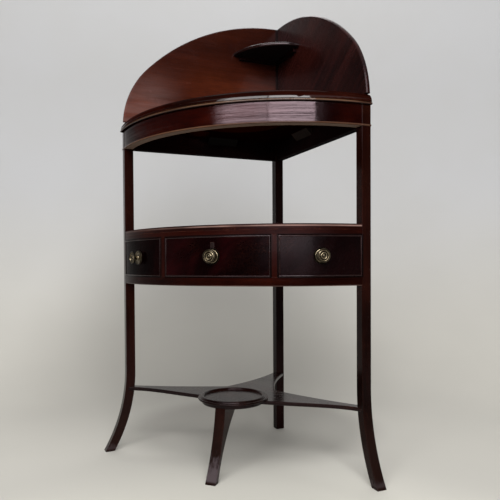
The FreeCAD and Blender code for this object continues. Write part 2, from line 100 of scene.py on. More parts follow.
def noise(tree, place, scale=1.0, detail=4.0, roughness=0.55, distortion=0.0):
    feeds = {"Vector": place, "Scale": scale, "Detail": detail, "Roughness": roughness,
             "Distortion": distortion}
    return put(tree, "TexNoise", feeds).outputs[0]


def newGroup(name, inputs, outputs):
    # sockets are (name, kind, default)
    group = bpy.data.node_groups.new(name, "ShaderNodeTree")
    for label, kind, default in inputs:
        socket = group.interface.new_socket(label, in_out="INPUT", socket_type="NodeSocket" + kind)
        if default is not None:
            socket.default_value = default
    for label, kind in outputs:
        group.interface.new_socket(label, in_out="OUTPUT", socket_type="NodeSocket" + kind)
    return group, group.nodes.new("NodeGroupInput").outputs, group.nodes.new("NodeGroupOutput").inputs


def useGroup(tree, group, feeds):
    return put(tree, "Group", feeds, node_tree=group).outputs


def newMaterial(name):
    made = bpy.data.materials.new(name)
    made.use_nodes = True
    tree = made.node_tree
    return made, tree, tree.nodes["Principled BSDF"], put(tree, "TexCoord").outputs["Object"]


def srgb(red, green, blue):
    # screen colour, 0 to 255, to a linear colour
    part = np.array([red, green, blue]) / 255
    flat = np.where(part <= 0.04045, part / 12.92, ((part + 0.055) / 1.055) ** 2.4)
    return (*flat.tolist(), 1.0)


# effects that several finishes share
def makeBowFlow():
    # unrolls the bow: along it = angle from the front times radius, then depth, then height
    group, given, result = newGroup("bowFlow", [("Place", "Vector", None)], [("Flow", "Vector")])
    x, y, rise = parts(group, given["Place"])
    forward = calc(group, "SUBTRACT", bow["centreY"], y)
    along = times(group, calc(group, "ARCTAN2", x, forward), bow["radius"])
    reach = calc(group, "SQRT", calc(group, "ADD", times(group, x, x), times(group, forward, forward)))
    depth = calc(group, "SUBTRACT", reach, bow["radius"])
    group.links.new(put(group, "CombineXYZ", {0: along, 1: depth, 2: rise}).outputs[0], result["Flow"])
    return group


def unrolled(tree, place):
    return useGroup(tree, bowFlow, {"Place": place})["Flow"]


grainScale = {  # noise cells per metre along the grain and across it
    "sway": (2.2, 5, 5), "band": (1.4, 26, 26), "streak": (4, 95, 95), "flame": (5, 12, 12),
    "cloud": (3.2, 4.5, 4.5), "fibre": (28, 800, 800), "pore": (120, 1900, 1900)}
swayReach = (0.0, 0.03, 0.03)  # how far the grain wanders off line, in metres


def makeGrain():
    # wood whose grain runs along X: long bands, cross-grain figure, fibres and short pores
    group, given, result = newGroup("woodGrain", [
        ("Flow", "Vector", None), ("Dark", "Color", (0, 0, 0, 1)), ("Mid", "Color", (0, 0, 0, 1)),
        ("Light", "Color", (0, 0, 0, 1)), ("Figure", "Float", 0.3), ("Coarse", "Float", 1.0)],
        [("Color", "Color"), ("Gloss", "Float"), ("Height", "Float")])

    def cells(place, name, detail, distortion=0.0):
        return noise(group, scaled(group, place, grainScale[name]), detail=detail, distortion=distortion)

    flow = given["Flow"]
    sway = put(group, "TexNoise", {"Vector": scaled(group, flow, grainScale["sway"]), "Scale": 1.0,
                                   "Detail": 2.0}).outputs[1]
    sway = vectorCalc(group, "SUBTRACT", sway, (0.5, 0.5, 0.5))
    bent = vectorCalc(group, "ADD", flow, scaled(group, sway, swayReach))
    coarse = put(group, "VectorMath", {0: bent, "Scale": given["Coarse"]}, operation="SCALE").outputs[0]
    band = ranged(group, cells(coarse, "band", 5), 0.34, 0.68)
    streak = ranged(group, cells(coarse, "streak", 3), 0.36, 0.66)
    flame = times(group, ranged(group, cells(coarse, "flame", 3, 0.6), 0.4, 0.7), given["Figure"])
    cloud = ranged(group, cells(flow, "cloud", 2), 0.35, 0.7)
    fibre = cells(bent, "fibre", 2)
    pore = ranged(group, cells(bent, "pore", 1), 0.6, 0.72)
    tone = addShare(group, times(group, band, 0.6), streak, 0.4)
    wood = mixColour(group, tone, given["Dark"], given["Mid"])
    lift = calc(group, "ADD", flame, times(group, cloud, 0.3), clamp=True)
    wood = mixColour(group, lift, wood, given["Light"])
    wood = mixColour(group, ranged(group, fibre, 0.3, 0.75, 0.35, 0.0), wood, given["Dark"])
    wood = mixColour(group, times(group, pore, 0.55), wood, given["Dark"])
    group.links.new(wood, result["Color"])
    group.links.new(addShare(group, times(group, pore, 0.12), streak, 0.04), result["Gloss"])
    group.links.new(calc(group, "SUBTRACT", times(group, fibre, 0.25), pore), result["Height"])
    return group


def makeEdgeWear():
    # rounded-over normal, and a mask that is one along edges and broken up by noise
    group, given, result = newGroup("edgeWear", [
        ("Place", "Vector", None), ("Round", "Float", 0.0012), ("Amount", "Float", 0.5)],
        [("Edge", "Float"), ("Normal", "Vector")])
    rounded = put(group, "Bevel", {"Radius": given["Round"]}, samples=6).outputs[0]
    own = put(group, "NewGeometry").outputs["Normal"]
    facing = vectorCalc(group, "DOT_PRODUCT", rounded, own, "Value")
    edge = ranged(group, calc(group, "SUBTRACT", 1.0, facing), 0.02, 0.22)
    rub = ranged(group, noise(group, given["Place"], scale=38), 0.36, 0.66)
    edge = calc(group, "MULTIPLY", times(group, edge, rub), given["Amount"], clamp=True)
    group.links.new(edge, result["Edge"])
    group.links.new(rounded, result["Normal"])
    return group


hairlines = ({"turn": 0.5, "size": 34.0}, {"turn": 1.9, "size": 27.0})  # two sets of scratches


def makeHandling():
    # smears in the polish, hairline scratches, dust on level faces, and masks of faces turned up or down
    group, given, result = newGroup("handling", [
        ("Place", "Vector", None), ("Scratches", "Float", 0.3), ("Dust", "Float", 0.2)],
        [("Smear", "Float"), ("Scratch", "Float"), ("Dust", "Float"), ("Above", "Float"), ("Below", "Float")])
    place = given["Place"]
    smear = ranged(group, noise(group, place, scale=9, detail=5, distortion=0.8), 0.35, 0.75)
    wander = put(group, "TexNoise", {"Vector": place, "Scale": 6.0}).outputs[1]
    wander = scaled(group, wander, (0.02, 0.02, 0.02))
    lines = None
    for hair in hairlines:
        spun = put(group, "Mapping", {"Vector": place, "Rotation": (0.3, 0.2, hair["turn"])}).outputs[0]
        spun = vectorCalc(group, "ADD", spun, wander)
        spun = scaled(group, spun, (0.12 * hair["size"], hair["size"], hair["size"]))
        line = put(group, "TexVoronoi", {"Vector": spun}, feature="DISTANCE_TO_EDGE").outputs["Distance"]
        line = ranged(group, line, 0.0, 0.025, 1.0, 0.0)
        lines = line if lines is None else calc(group, "MAXIMUM", lines, line)
    gone = ranged(group, noise(group, place, scale=13, detail=3), 0.5, 0.68)
    lines = times(group, times(group, lines, gone), given["Scratches"])
    tilt = parts(group, put(group, "NewGeometry").outputs["Normal"])[2]
    dust = ranged(group, noise(group, place, scale=16, detail=6, roughness=0.7), 0.35, 0.7)
    dust = times(group, ranged(group, tilt, 0.6, 1.0), dust)
    group.links.new(smear, result["Smear"])
    group.links.new(lines, result["Scratch"])
    group.links.new(times(group, dust, given["Dust"]), result["Dust"])
    group.links.new(ranged(group, tilt, 0.2, 0.32), result["Above"])
    group.links.new(ranged(group, tilt, -0.9, -0.6, 1.0, 0.0), result["Below"])
    return group


beadLine = {"beads": ("false_bead_left", "drawer_bead", "false_bead_right"), "reach": (0.0015, 0.004)}


def makeBeadGapShade():
    # painted shade in the gaps beside the beads: distance outside a bead's outline on the unrolled front, dark
    # near zero
    group, given, result = newGroup("beadGapShade", [("Place", "Vector", None)], [("GapShade", "Float")])
    along, depth, rise = parts(group, unrolled(group, given["Place"]))
    shadeAndDirt = None
    for name in beadLine["beads"]:
        low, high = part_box(name)
        left, right = (bow["radius"] * math.asin(edge / bow["radius"]) for edge in (low[0], high[0]))
        beside = calc(group, "MAXIMUM", calc(group, "SUBTRACT", left, along),
                      calc(group, "SUBTRACT", along, right))
        over = calc(group, "MAXIMUM", calc(group, "SUBTRACT", low[2], rise),
                    calc(group, "SUBTRACT", rise, high[2]))
        off = ranged(group, calc(group, "MAXIMUM", beside, over), *beadLine["reach"], 1.0, 0.0)
        shadeAndDirt = off if shadeAndDirt is None else calc(group, "MAXIMUM", shadeAndDirt, off)
    group.links.new(times(group, shadeAndDirt, ranged(group, depth, *bow["skin"])), result["GapShade"])
    return group


bowFlow, woodGrain, edgeWear, handling = makeBowFlow(), makeGrain(), makeEdgeWear(), makeHandling()
beadGapShade = makeBeadGapShade()
print("shader groups ready")

# polished mahogany
shades = {  # dark lines, body and light figure of each stain; tan is the frieze bead's painted highlight
    "deep": (srgb(3, 0, 0), srgb(10, 1, 1), srgb(37, 5, 7)),
    "night": (srgb(2, 0, 0), srgb(6, 1, 1), srgb(24, 5, 5)),
    "red": (srgb(10, 1, 0), srgb(28, 4, 1), srgb(54, 15, 7)),
    "rich": (srgb(7, 0, 0), srgb(18, 1, 1), srgb(60, 14, 4)),
    "dusk": (srgb(8, 2, 1), srgb(25, 7, 4), srgb(46, 16, 10)),
    "warm": (srgb(18, 4, 3), srgb(56, 19, 12), srgb(112, 49, 23)),
    "slant": (srgb(7, 2, 2), srgb(42, 15, 13), srgb(72, 30, 24)),
    "umber": (srgb(8, 2, 2), srgb(20, 6, 4), srgb(40, 15, 11)),
    "tan": (srgb(54, 32, 20), srgb(82, 54, 36), srgb(112, 80, 58)),
    "grey": (srgb(22, 14, 13), srgb(36, 26, 24), srgb(52, 42, 39))}
# the darkest polish colour serves both joint dirt and painted shade in gaps and below the shelf
# the pale pink polish colour is a painted sheen
polish = {"worn": srgb(92, 46, 30), "dust": srgb(104, 96, 90), "scuff": srgb(86, 77, 80),
          "sheenPaint": srgb(114, 90, 86), "shadeAndDirt": srgb(5, 2, 2), "lowDown": srgb(28, 21, 18), "rawAndShaded": 0.92,
          "tint": (1.0, 0.74, 0.82, 1.0), "coatGloss": 0.05}
dullness = {  # what each kind of mark adds to the roughness
    "smear": 0.08, "edge": 0.12, "dust": 0.35, "rawAndShaded": 0.8, "kicked": 0.25, "wiped": 0.45}
relief = {  # bumps: noise cells per metre, strengths, and heights in metres
    "ripple": 26, "rippleStrength": 0.12, "rippleDistance": 0.0012, "sunk": (4, 4, 95),
    "sunkDistance": 0.0006, "grainStrength": 0.06, "grainDistance": 0.0004}

quarter = math.pi / 4
flows = {  # how a board's grain lies: bow follows the curve, turn spins about Z, stand sets it upright
    "bow": {"bow": True}, "upright": {"stand": math.pi / 2}, "across": {},
    "leftWall": {"turn": 3 * quarter}, "rightWall": {"turn": quarter},
    "veneer": {"bow": True, "stand": 0.62}, "veneerSteep": {"bow": True, "stand": 1.15},
    "slanted": {"turn": quarter, "stand": 0.62}, "deep": {"turn": math.pi / 2}}


def grainFlow(tree, place, flow, seed):
    # object place, unrolled or turned so that the grain lies along X, then shifted by the piece's seed
    if flow.get("bow"):
        place = unrolled(tree, place)
    if "turn" in flow:
        place = put(tree, "Mapping", {"Vector": place, "Rotation": (0, 0, flow["turn"])}).outputs[0]
    shift = (0.37 * seed, 0.61 * seed, 0.23 * seed)
    return put(tree, "Mapping", {"Vector": place, "Rotation": (0, flow.get("stand", 0.0), 0),
                                 "Location": shift}).outputs[0]


holes = {"inside": (-0.03, -0.02), "tilt": (0.3, 0.7)}


def holeWalls(tree, place):
    # walls of the holes in the top: well inside the bow, and not level
    depth = parts(tree, unrolled(tree, place))[1]
    tilt = parts(tree, put(tree, "NewGeometry").outputs["Normal"])[2]
    return times(tree, ranged(tree, depth, *holes["inside"], 1.0, 0.0),
                 ranged(tree, tilt, *holes["tilt"], 1.0, 0.0))


sheenShape = {"middle": 0.29, "ends": (0.08, 0.27), "rise": (0.86, 1.0), "outer": (0.46, 0.6, 1.0, 0.6),
        "inner": (0.05, 0.25, 1.4, 1.0), "streaks": (6, 6, 60), "broken": (0.3, 0.65, 0.4, 1.0),
        "darkRise": (0.92, 1.06, 0.0, 0.7)}


def paintSheen(tree, place, colour, dark, amount):
    # painted sheen, a pale pink reflection painted low down at both ends of the left board: distance from its
    # middle, times height, times streaks; along is root two times the distance from the corner, and the colour
    # goes darker high up
    x, y, rise = parts(tree, place)
    along = calc(tree, "SUBTRACT", calc(tree, "SUBTRACT", bow["centreY"], y), x)
    sheen = ranged(tree, calc(tree, "ABSOLUTE", calc(tree, "SUBTRACT", along, sheenShape["middle"])), *sheenShape["ends"])
    sheen = times(tree, sheen, ranged(tree, rise, *sheenShape["rise"], 1.0, 0.0))
    sheen = times(tree, sheen, ranged(tree, along, *sheenShape["outer"]))
    sheen = times(tree, sheen, ranged(tree, along, *sheenShape["inner"]))
    streaks = noise(tree, scaled(tree, place, sheenShape["streaks"]), detail=5)
    sheen = times(tree, sheen, ranged(tree, streaks, *sheenShape["broken"]))
    colour = mixColour(tree, times(tree, sheen, amount), colour, polish["sheenPaint"])
    return mixColour(tree, ranged(tree, rise, *sheenShape["darkRise"]), colour, dark)


cornerDark = {"joint": (0.002, 0.006), "rise": (0.93, 0.99), "amount": 0.85}


def cornerDirtAndShade(tree, place, colour, reach):
    # dirt in the corner joint, dark within a few millimetres of it, and painted shade below the shelf out to
    # the reach
    x, y, rise = parts(tree, place)
    aside = calc(tree, "ABSOLUTE", x)
    # painted shade under the shelf
    under = times(tree, ranged(tree, aside, 0.0, reach, cornerDark["amount"], 0.0),
                  ranged(tree, rise, *cornerDark["rise"], 1.0, 0.0))
    shadeAndDirt = calc(tree, "MAXIMUM", under, ranged(tree, aside, *cornerDark["joint"], cornerDark["amount"], 0.0))
    return mixColour(tree, shadeAndDirt, colour, polish["shadeAndDirt"])


glintLine = {"core": 0.4, "run": (-0.2, 0.06), "streaks": (9, 9, 60), "broken": (0.3, 0.6, 0.25, 1.0)}


def paintGlintLine(tree, place, colour, height, width, amount, left, tone):
    # painted highlight: a pale line along the bow, full at this height, none at this width from it, fainter to
    # the left, broken up
    along, depth, rise = parts(tree, unrolled(tree, place))
    line = calc(tree, "ABSOLUTE", calc(tree, "SUBTRACT", rise, height))
    line = ranged(tree, line, glintLine["core"] * width, width, amount, 0.0)
    line = times(tree, line, ranged(tree, depth, *bow["skin"]))
    line = times(tree, line, ranged(tree, along, *glintLine["run"], left, 1.0))
    broken = noise(tree, scaled(tree, place, glintLine["streaks"]), detail=3)
    line = times(tree, line, ranged(tree, broken, *glintLine["broken"]))
    return mixColour(tree, line, colour, tone)


kicks = {"streaks": (130, 130, 34), "ragged": 1.6, "edge": (1.05, 1.75), "tip": (0.003, 0.008),
         "lowDown": (0.06, 0.2, 0.5, 0.0)}


def kickedToe(tree, place, colour, toe, amount):
    # kicked grey in upright streaks up to about the toe's height, dark at the very end, and darker and greyer
    # low down
    rise = parts(tree, place)[2]
    kick = noise(tree, scaled(tree, place, kicks["streaks"]), detail=4, roughness=0.65)
    kick = addShare(tree, calc(tree, "DIVIDE", rise, toe), kick, kicks["ragged"])
    kick = times(tree, ranged(tree, kick, *kicks["edge"], 1.0, 0.0), ranged(tree, rise, *kicks["tip"]))
    colour = mixColour(tree, ranged(tree, rise, *kicks["lowDown"]), colour, polish["lowDown"])
    return mixColour(tree, times(tree, kick, amount), colour, polish["scuff"]), kick


def mahogany(name, flow, seed, shade="red", figure=0.25, coarse=1.0, worn=0.5, scratches=0.15,
             dust=0.02, edgeRound=0.0012, gloss=0.1, coat=0.2, specular=0.2, toe=0.0, kicked=0.6,
             pierced=False, sheenPaint=0.0, dulled=0.0, edgeShade=0.0, gapShade=0.0, glint=None, corner=0.0,
             streaks=0.0, under=None):
    # hand-polished mahogany: grain, rubbed edges, smears, scratches, a little dust, unpolished underneath with
    # painted shade there, and painted sheen, shade and highlight lines where a board asks for them
    made, tree, shader, place = newMaterial(name)
    dark, body, light = shades[shade]
    grain = useGroup(tree, woodGrain, {"Flow": grainFlow(tree, place, flows[flow], seed), "Dark": dark,
                                       "Mid": body, "Light": light, "Figure": figure, "Coarse": coarse})
    wear = useGroup(tree, edgeWear, {"Place": place, "Round": edgeRound, "Amount": worn})
    marks = useGroup(tree, handling, {"Place": place, "Scratches": scratches, "Dust": dust})
    rawAndShaded = marks["Below"]
    if pierced:
        rawAndShaded = calc(tree, "MAXIMUM", rawAndShaded, holeWalls(tree, place))

    colour = mixColour(tree, wear["Edge"], grain["Color"], polish["worn"])
    colour = mixColour(tree, marks["Scratch"], colour, polish["worn"])
    # painted sheen low at both ends of the left board, and its colour darker high up
    if sheenPaint:
        colour = paintSheen(tree, place, colour, dark, sheenPaint)
    colour = mixColour(tree, marks["Dust"], colour, polish["dust"])
    # undersides and hole walls are unpolished and rough, and their colour is painted dark as shade; a board's
    # under colour takes the place of the dark where one is given
    colour = mixColour(tree, times(tree, rawAndShaded, polish["rawAndShaded"]), colour, under or dark)
    # dirt in the corner joint and painted shade below the shelf
    if corner:
        colour = cornerDirtAndShade(tree, place, colour, corner)
    # painted shade in the gaps beside the beads
    if gapShade:
        shadeAndDirt = useGroup(tree, beadGapShade, {"Place": place})["GapShade"]
        colour = mixColour(tree, times(tree, shadeAndDirt, gapShade), colour, polish["shadeAndDirt"])
    # painted highlight line along an edge
    if glint:
        colour = paintGlintLine(tree, place, colour, **glint)
    if edgeShade:  # painted shade, darker on the edges than on the flat
        colour = mixColour(tree, times(tree, calc(tree, "SUBTRACT", 1.0, marks["Above"]), edgeShade), colour, dark)

    rough = addShare(tree, grain["Gloss"], marks["Smear"], dullness["smear"])
    rough = addShare(tree, rough, wear["Edge"], dullness["edge"])
    rough = addShare(tree, rough, marks["Dust"], dullness["dust"])
    rough = addShare(tree, rough, rawAndShaded, dullness["rawAndShaded"])
    if toe:
        colour, kick = kickedToe(tree, place, colour, toe, kicked)
        rough = addShare(tree, rough, kick, dullness["kicked"])
    flat = times(tree, marks["Above"], dulled)  # wiped dull on top
    rough = addShare(tree, rough, flat, dullness["wiped"])
    rough = calc(tree, "ADD", rough, gloss, clamp=True)
    coated = times(tree, calc(tree, "SUBTRACT", 1.0, calc(tree, "MAXIMUM", rawAndShaded, flat)), coat)

    bump = put(tree, "Bump", {"Strength": relief["rippleStrength"], "Distance": relief["rippleDistance"],
                              "Height": noise(tree, place, scale=relief["ripple"], detail=2),
                              "Normal": wear["Normal"]}).outputs[0]
    if streaks:  # the polish has sunk in along the grain
        sunk = noise(tree, scaled(tree, unrolled(tree, place), relief["sunk"]), detail=3)
        bump = put(tree, "Bump", {"Strength": streaks, "Distance": relief["sunkDistance"], "Height": sunk,
                                  "Normal": bump}).outputs[0]
    bump = put(tree, "Bump", {"Strength": relief["grainStrength"], "Distance": relief["grainDistance"],
                              "Height": grain["Height"], "Normal": bump}).outputs[0]
    tree.links.new(colour, shader.inputs["Base Color"])
    tree.links.new(rough, shader.inputs["Roughness"])
    tree.links.new(coated, shader.inputs["Coat Weight"])
    tree.links.new(bump, shader.inputs["Normal"])
    shader.inputs["Specular IOR Level"].default_value = specular
    shader.inputs["Specular Tint"].default_value = polish["tint"]
    shader.inputs["Coat Roughness"].default_value = polish["coatGloss"]
    return made


def dress(name, material):
    mesh = nodes[name].data
    mesh.materials.clear()
    mesh.materials.append(material)


paleGlint = srgb(172, 138, 128)  # painted highlight along the tier's edges
boards = {  # each mahogany node: grain flow and what differs from the common finish
    "front_leg_left": dict(flow="upright", shade="dusk", worn=0.4, scratches=0.3, toe=0.022, kicked=0.25,
                           specular=0.07, coat=0.02, gapShade=0.9),
    "front_leg_right": dict(flow="upright", shade="dusk", worn=0.4, scratches=0.3, toe=0.022, kicked=0.25,
                            specular=0.07, coat=0.02, gapShade=0.9),
    "back_leg": dict(flow="upright", shade="umber", figure=0.1, worn=0.4, specular=0.06, coat=0.02),
    "centre_foot": dict(flow="upright", shade="dusk", figure=0.2, worn=0.5, scratches=0.6, toe=0.062,
                        specular=0.1, coat=0.06),
    # its edges are darkened as painted shade
    "platform": dict(flow="across", shade="umber", figure=0.3, worn=0.25, scratches=0.6, dust=0.12,
                     gloss=0.16, specular=0.12, coat=0.1, edgeShade=0.6),
    "jug_dish": dict(flow="across", shade="umber", figure=0.2, worn=0.3, scratches=0.5, dust=0.15,
                     gloss=0.18, specular=0.1, coat=0.08),
    # the tan line on the lip is a painted highlight
    "top_board": dict(flow="bow", shade="red", coarse=1.6, worn=0.9, edgeRound=0.002, specular=0.0,
                      coat=0.8, pierced=True, dulled=0.95,
                      glint={"height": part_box("top_board")[0][2] + 0.0038, "width": 0.003, "amount": 0.6,
                             "left": 0.7, "tone": srgb(114, 86, 66)}),
    # its underside's pale tan colour is painted light, the light that underside catches
    "frieze_rail": dict(flow="bow", shade="rich", figure=0.35, coarse=1.4, worn=0.6, gloss=0.04,
                        specular=0.42, coat=0.0, streaks=0.9, under=srgb(106, 86, 70)),
    # the frieze bead's pale tan colour is a painted highlight along the frieze's lower edge
    "frieze_bead": dict(flow="bow", shade="tan", figure=0.1, worn=0.6),
    "top_rail_left": dict(flow="leftWall", shade="deep", figure=0.15, gloss=0.8, coat=0.0, specular=0.05),
    "top_rail_right": dict(flow="rightWall", shade="deep", figure=0.15, gloss=0.8, coat=0.0, specular=0.05),
    "splash_board_left": dict(flow="leftWall", shade="warm", figure=0.35, coarse=0.75, gloss=0.2,
                              coat=0.06, specular=0.12, sheenPaint=0.68, corner=0.012),
    "splash_board_right": dict(flow="slanted", shade="slant", figure=0.15, coarse=1.4, gloss=0.2,
                               coat=0.06, specular=0.15, corner=0.06),
    "corner_shelf": dict(flow="across", shade="umber", figure=0.2, worn=0.6, dust=0.1),
    "shelf_cleat_left": dict(flow="leftWall", shade="deep", gloss=0.4, coat=0.0, specular=0.1),
    "shelf_cleat_right": dict(flow="rightWall", shade="deep", gloss=0.4, coat=0.0, specular=0.1),
    # painted highlight along the upper edge
    "tier_top_board": dict(flow="bow", coarse=2.0, worn=1.0, scratches=0.5, dust=0.1, edgeRound=0.0025,
                           gloss=0.3, specular=0.1, coat=0.0, dulled=0.95, gapShade=0.9,
                           glint={"height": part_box("tier_top_board")[1][2] - 0.0042, "width": 0.0021,
                                  "amount": 0.5, "left": 0.3, "tone": paleGlint}),
    "tier_front_rail": dict(flow="bow", figure=0.3, coarse=2.0, worn=0.4, gloss=0.3, specular=0.08,
                            coat=0.0, gapShade=0.9),
    # painted highlight along the lower edge
    "tier_bottom_board": dict(flow="bow", figure=0.3, coarse=1.6, worn=0.9, specular=0.06, coat=0.03,
                              gapShade=0.9, glint={"height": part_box("tier_bottom_board")[0][2], "width": 0.0022,
                                                "amount": 0.35, "left": 0.3, "tone": paleGlint}),
    "tier_panel_left": dict(flow="leftWall", shade="umber", gloss=0.5, coat=0.0, specular=0.1),
    "tier_panel_right": dict(flow="rightWall", shade="umber", gloss=0.5, coat=0.0, specular=0.1),
    "divider_left": dict(flow="upright", coarse=1.6, specular=0.06, coat=0.02, gapShade=0.9),
    "divider_right": dict(flow="upright", coarse=1.6, specular=0.06, coat=0.02, gapShade=0.9),
    "false_front_left": dict(flow="veneerSteep", shade="night", figure=0.4, coarse=0.9, gloss=0.15,
                             specular=0.02, coat=0.0),
    "false_front_right": dict(flow="veneerSteep", shade="night", figure=0.4, coarse=0.9, gloss=0.15,
                              specular=0.12, coat=0.02),
    "drawer_front": dict(flow="veneer", shade="deep", figure=0.75, coarse=0.9, gloss=0.15, specular=0.05,
                         coat=0.0),
    "false_bead_left": dict(flow="bow", shade="umber", figure=0.1, worn=0.8, specular=0.15, coat=0.15),
    "false_bead_right": dict(flow="bow", shade="umber", figure=0.1, worn=0.8, specular=0.3, coat=0.2),
    "drawer_bead": dict(flow="bow", shade="umber", figure=0.1, worn=0.8, specular=0.3, coat=0.2),
    "keyhole_patch": dict(flow="upright", shade="grey", figure=0.1, worn=0.3)}
for count, (name, settings) in enumerate(boards.items()):
    dress(name, mahogany(name + "Polish", seed=count + 1, **settings))
print("mahogany on", len(boards), "boards")

# plain inside wood
plainWood = {"drawer": (srgb(46, 32, 20), srgb(84, 62, 41), srgb(112, 86, 60)),
             "block": (srgb(18, 10, 8), srgb(40, 27, 22), srgb(58, 42, 35)),
             # the glue block's colours darkened as painted shade, for the left block
             "shadedBlock": (srgb(5, 3, 2), srgb(10, 7, 5), srgb(17, 12, 9)),
             "stain": srgb(26, 18, 12), "gloss": 0.75, "specular": 0.1, "figure": 0.15, "coarse": 1.2,
             "edgeRound": 0.001, "worn": 0.4, "scratches": 0.3, "dust": 0.25, "smear": 0.35,
             "bumpStrength": 0.25, "bumpDistance": 0.0005}
insides = {  # each unpolished node: grain flow and colouring; the left glue block's darker colouring is painted shade
    "drawer_side_left": ("deep", "drawer"), "drawer_side_right": ("deep", "drawer"),
    "drawer_back": ("across", "drawer"), "drawer_bottom": ("across", "drawer"),
    "drawer_stop_left": ("across", "drawer"), "drawer_stop_right": ("across", "drawer"),
    "glue_block_left": ("leftWall", "shadedBlock"), "glue_block_right": ("rightWall", "block")}
firstSeed = 40


def insideWood(name, flow, colouring, seed):
    # unpolished oak or old pine: open grain, handling stains and dark edges
    made, tree, shader, place = newMaterial(name)
    dark, body, light = plainWood[colouring]
    grain = useGroup(tree, woodGrain, {"Flow": grainFlow(tree, place, flows[flow], seed), "Dark": dark,
                                       "Mid": body, "Light": light, "Figure": plainWood["figure"],
                                       "Coarse": plainWood["coarse"]})
    wear = useGroup(tree, edgeWear, {"Place": place, "Round": plainWood["edgeRound"],
                                     "Amount": plainWood["worn"]})
    marks = useGroup(tree, handling, {"Place": place, "Scratches": plainWood["scratches"],
                                      "Dust": plainWood["dust"]})
    colour = mixColour(tree, times(tree, marks["Smear"], plainWood["smear"]), grain["Color"],
                       plainWood["stain"])
    colour = mixColour(tree, wear["Edge"], colour, plainWood["stain"])
    rough = calc(tree, "ADD", grain["Gloss"], plainWood["gloss"])
    bump = put(tree, "Bump", {"Strength": plainWood["bumpStrength"], "Distance": plainWood["bumpDistance"],
                              "Height": grain["Height"], "Normal": wear["Normal"]}).outputs[0]
    tree.links.new(colour, shader.inputs["Base Color"])
    tree.links.new(rough, shader.inputs["Roughness"])
    tree.links.new(bump, shader.inputs["Normal"])
    shader.inputs["Specular IOR Level"].default_value = plainWood["specular"]
    return made


for count, (name, (flow, colouring)) in enumerate(insides.items()):
    dress(name, insideWood(name + "Plain", flow, colouring, count + firstSeed))
print("inside wood on", len(insides), "pieces")

# brass knobs: the profiles are pairs of height above the drawer's face and radius, in millimetres
brass = {"bright": srgb(178, 164, 138), "deep": srgb(104, 92, 72), "tarnish": srgb(14, 11, 8),
         "gloss": 0.24, "blotch": 140, "speck": 900, "bumpStrength": 0.08, "bumpDistance": 0.0002,
         "turns": 112, "steps": 9, "hollowReach": 7, "hollowGain": 2.2, "hollowRange": (0.46, 0.66)}
knobShape = {
    "head": ((1.7, 6.5), (2.6, 6.7), (3.3, 6.0), (4.6, 5.1), (6.0, 4.9), (8.0, 5.2), (10.4, 6.4), (12.6, 9.0),
             (13.9, 12.0), (14.6, 13.7), (15.3, 14.6), (16.3, 15.0), (17.3, 14.6), (17.9, 13.6), (18.0, 12.8),
             (17.6, 12.0), (16.7, 11.4), (16.2, 10.8), (16.3, 10.2), (16.9, 9.4), (17.2, 8.4), (16.9, 7.4),
             (16.3, 6.8), (16.1, 6.2), (16.2, 5.4), (16.7, 4.7), (17.6, 4.3), (18.7, 3.3), (19.5, 1.9),
             (19.8, 0.8), (19.8, 0.0)),
    "rose": ((0.0, 17.3), (0.6, 17.5), (1.5, 17.4), (2.4, 16.9), (2.8, 16.0), (2.5, 15.1), (1.8, 14.6),
             (1.5, 14.0), (1.6, 13.3), (2.0, 12.7), (2.1, 12.0), (1.8, 11.4), (1.5, 10.9), (1.6, 10.0),
             (1.7, 8.6), (1.9, 7.4), (1.8, 6.7), (1.6, 6.5), (1.6, 3.2))}
roseLow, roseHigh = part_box("knob_rose_centre")
knobHeight = 0.5 * (roseLow[2] + roseHigh[2])
legWidth = 0.0225
# a side knob is midway between the divider's outer face and the leg's inner side
sideAngle = 0.5 * (math.asin(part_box("divider_right")[1][0] / bow["radius"])
                   + quarter - math.asin(legWidth / bow["radius"]))
knobPlaces = {"left": (-sideAngle, "stand"), "centre": (0.0, "drawer"), "right": (sideAngle, "stand")}


def smoothProfile(points, steps):
    # Catmull-Rom curve through the points: each span is a cubic with slopes from its two neighbours
    spot = np.array(points, float)
    padded = np.vstack([2 * spot[0] - spot[1], spot, 2 * spot[-1] - spot[-2]])
    t = np.linspace(0, 1, steps, endpoint=False)[None, :, None]
    a, b, c, d = padded[:-3, None], padded[1:-2, None], padded[2:-1, None], padded[3:, None]
    span = 0.5 * (2 * b + (c - a) * t + (2 * a - 5 * b + 4 * c - d) * t ** 2
                  + (3 * b - a - 3 * c + d) * t ** 3)
    return np.vstack([span.reshape(-1, 2), spot[-1]])


def hollowness(curve, reach):
    # how far a point lies inside the mean of its neighbours, along the profile's outward normal
    way = np.gradient(curve, axis=0)
    normal = np.stack([way[:, 1], -way[:, 0]], axis=1)
    normal /= np.linalg.norm(normal, axis=1, keepdims=True) + 1e-9
    kernel = np.ones(2 * reach + 1) / (2 * reach + 1)
    padded = np.pad(curve, ((reach, reach), (0, 0)), mode="edge")
    mean = np.stack([np.convolve(padded[:, k], kernel, mode="valid") for k in (0, 1)], axis=1)
    return ((mean - curve) * normal).sum(axis=1)


def ringFaces(rows, turns, closed):
    # quads between each row of a turned surface and the next, and from the last to the first where it closes
    row, column = np.meshgrid(np.arange(rows if closed else rows - 1), np.arange(turns), indexing="ij")
    nextColumn = (column + 1) % turns
    first, second = row * turns, (row + 1) % rows * turns
    return np.stack([first + column, second + column, second + nextColumn, first + nextColumn],
                    axis=-1).reshape(-1, 4).tolist()


def poleFaces(pole, start, turns, outward):
    # triangles from a pole to the row that starts at this vertex
    around = np.arange(turns)
    onward = (around + 1) % turns
    pair = (around, onward) if outward else (onward, around)
    return np.stack([np.full(turns, pole), start + pair[0], start + pair[1]], axis=-1).tolist()


def newPiece(name, spots, faces):
    mesh = bpy.data.meshes.new(name)
    mesh.from_pydata(spots.tolist(), [], faces)
    mesh.polygons.foreach_set("use_smooth", np.ones(len(faces), bool))
    made = bpy.data.objects.new(name, mesh)
    bpy.context.scene.collection.objects.link(made)
    return made


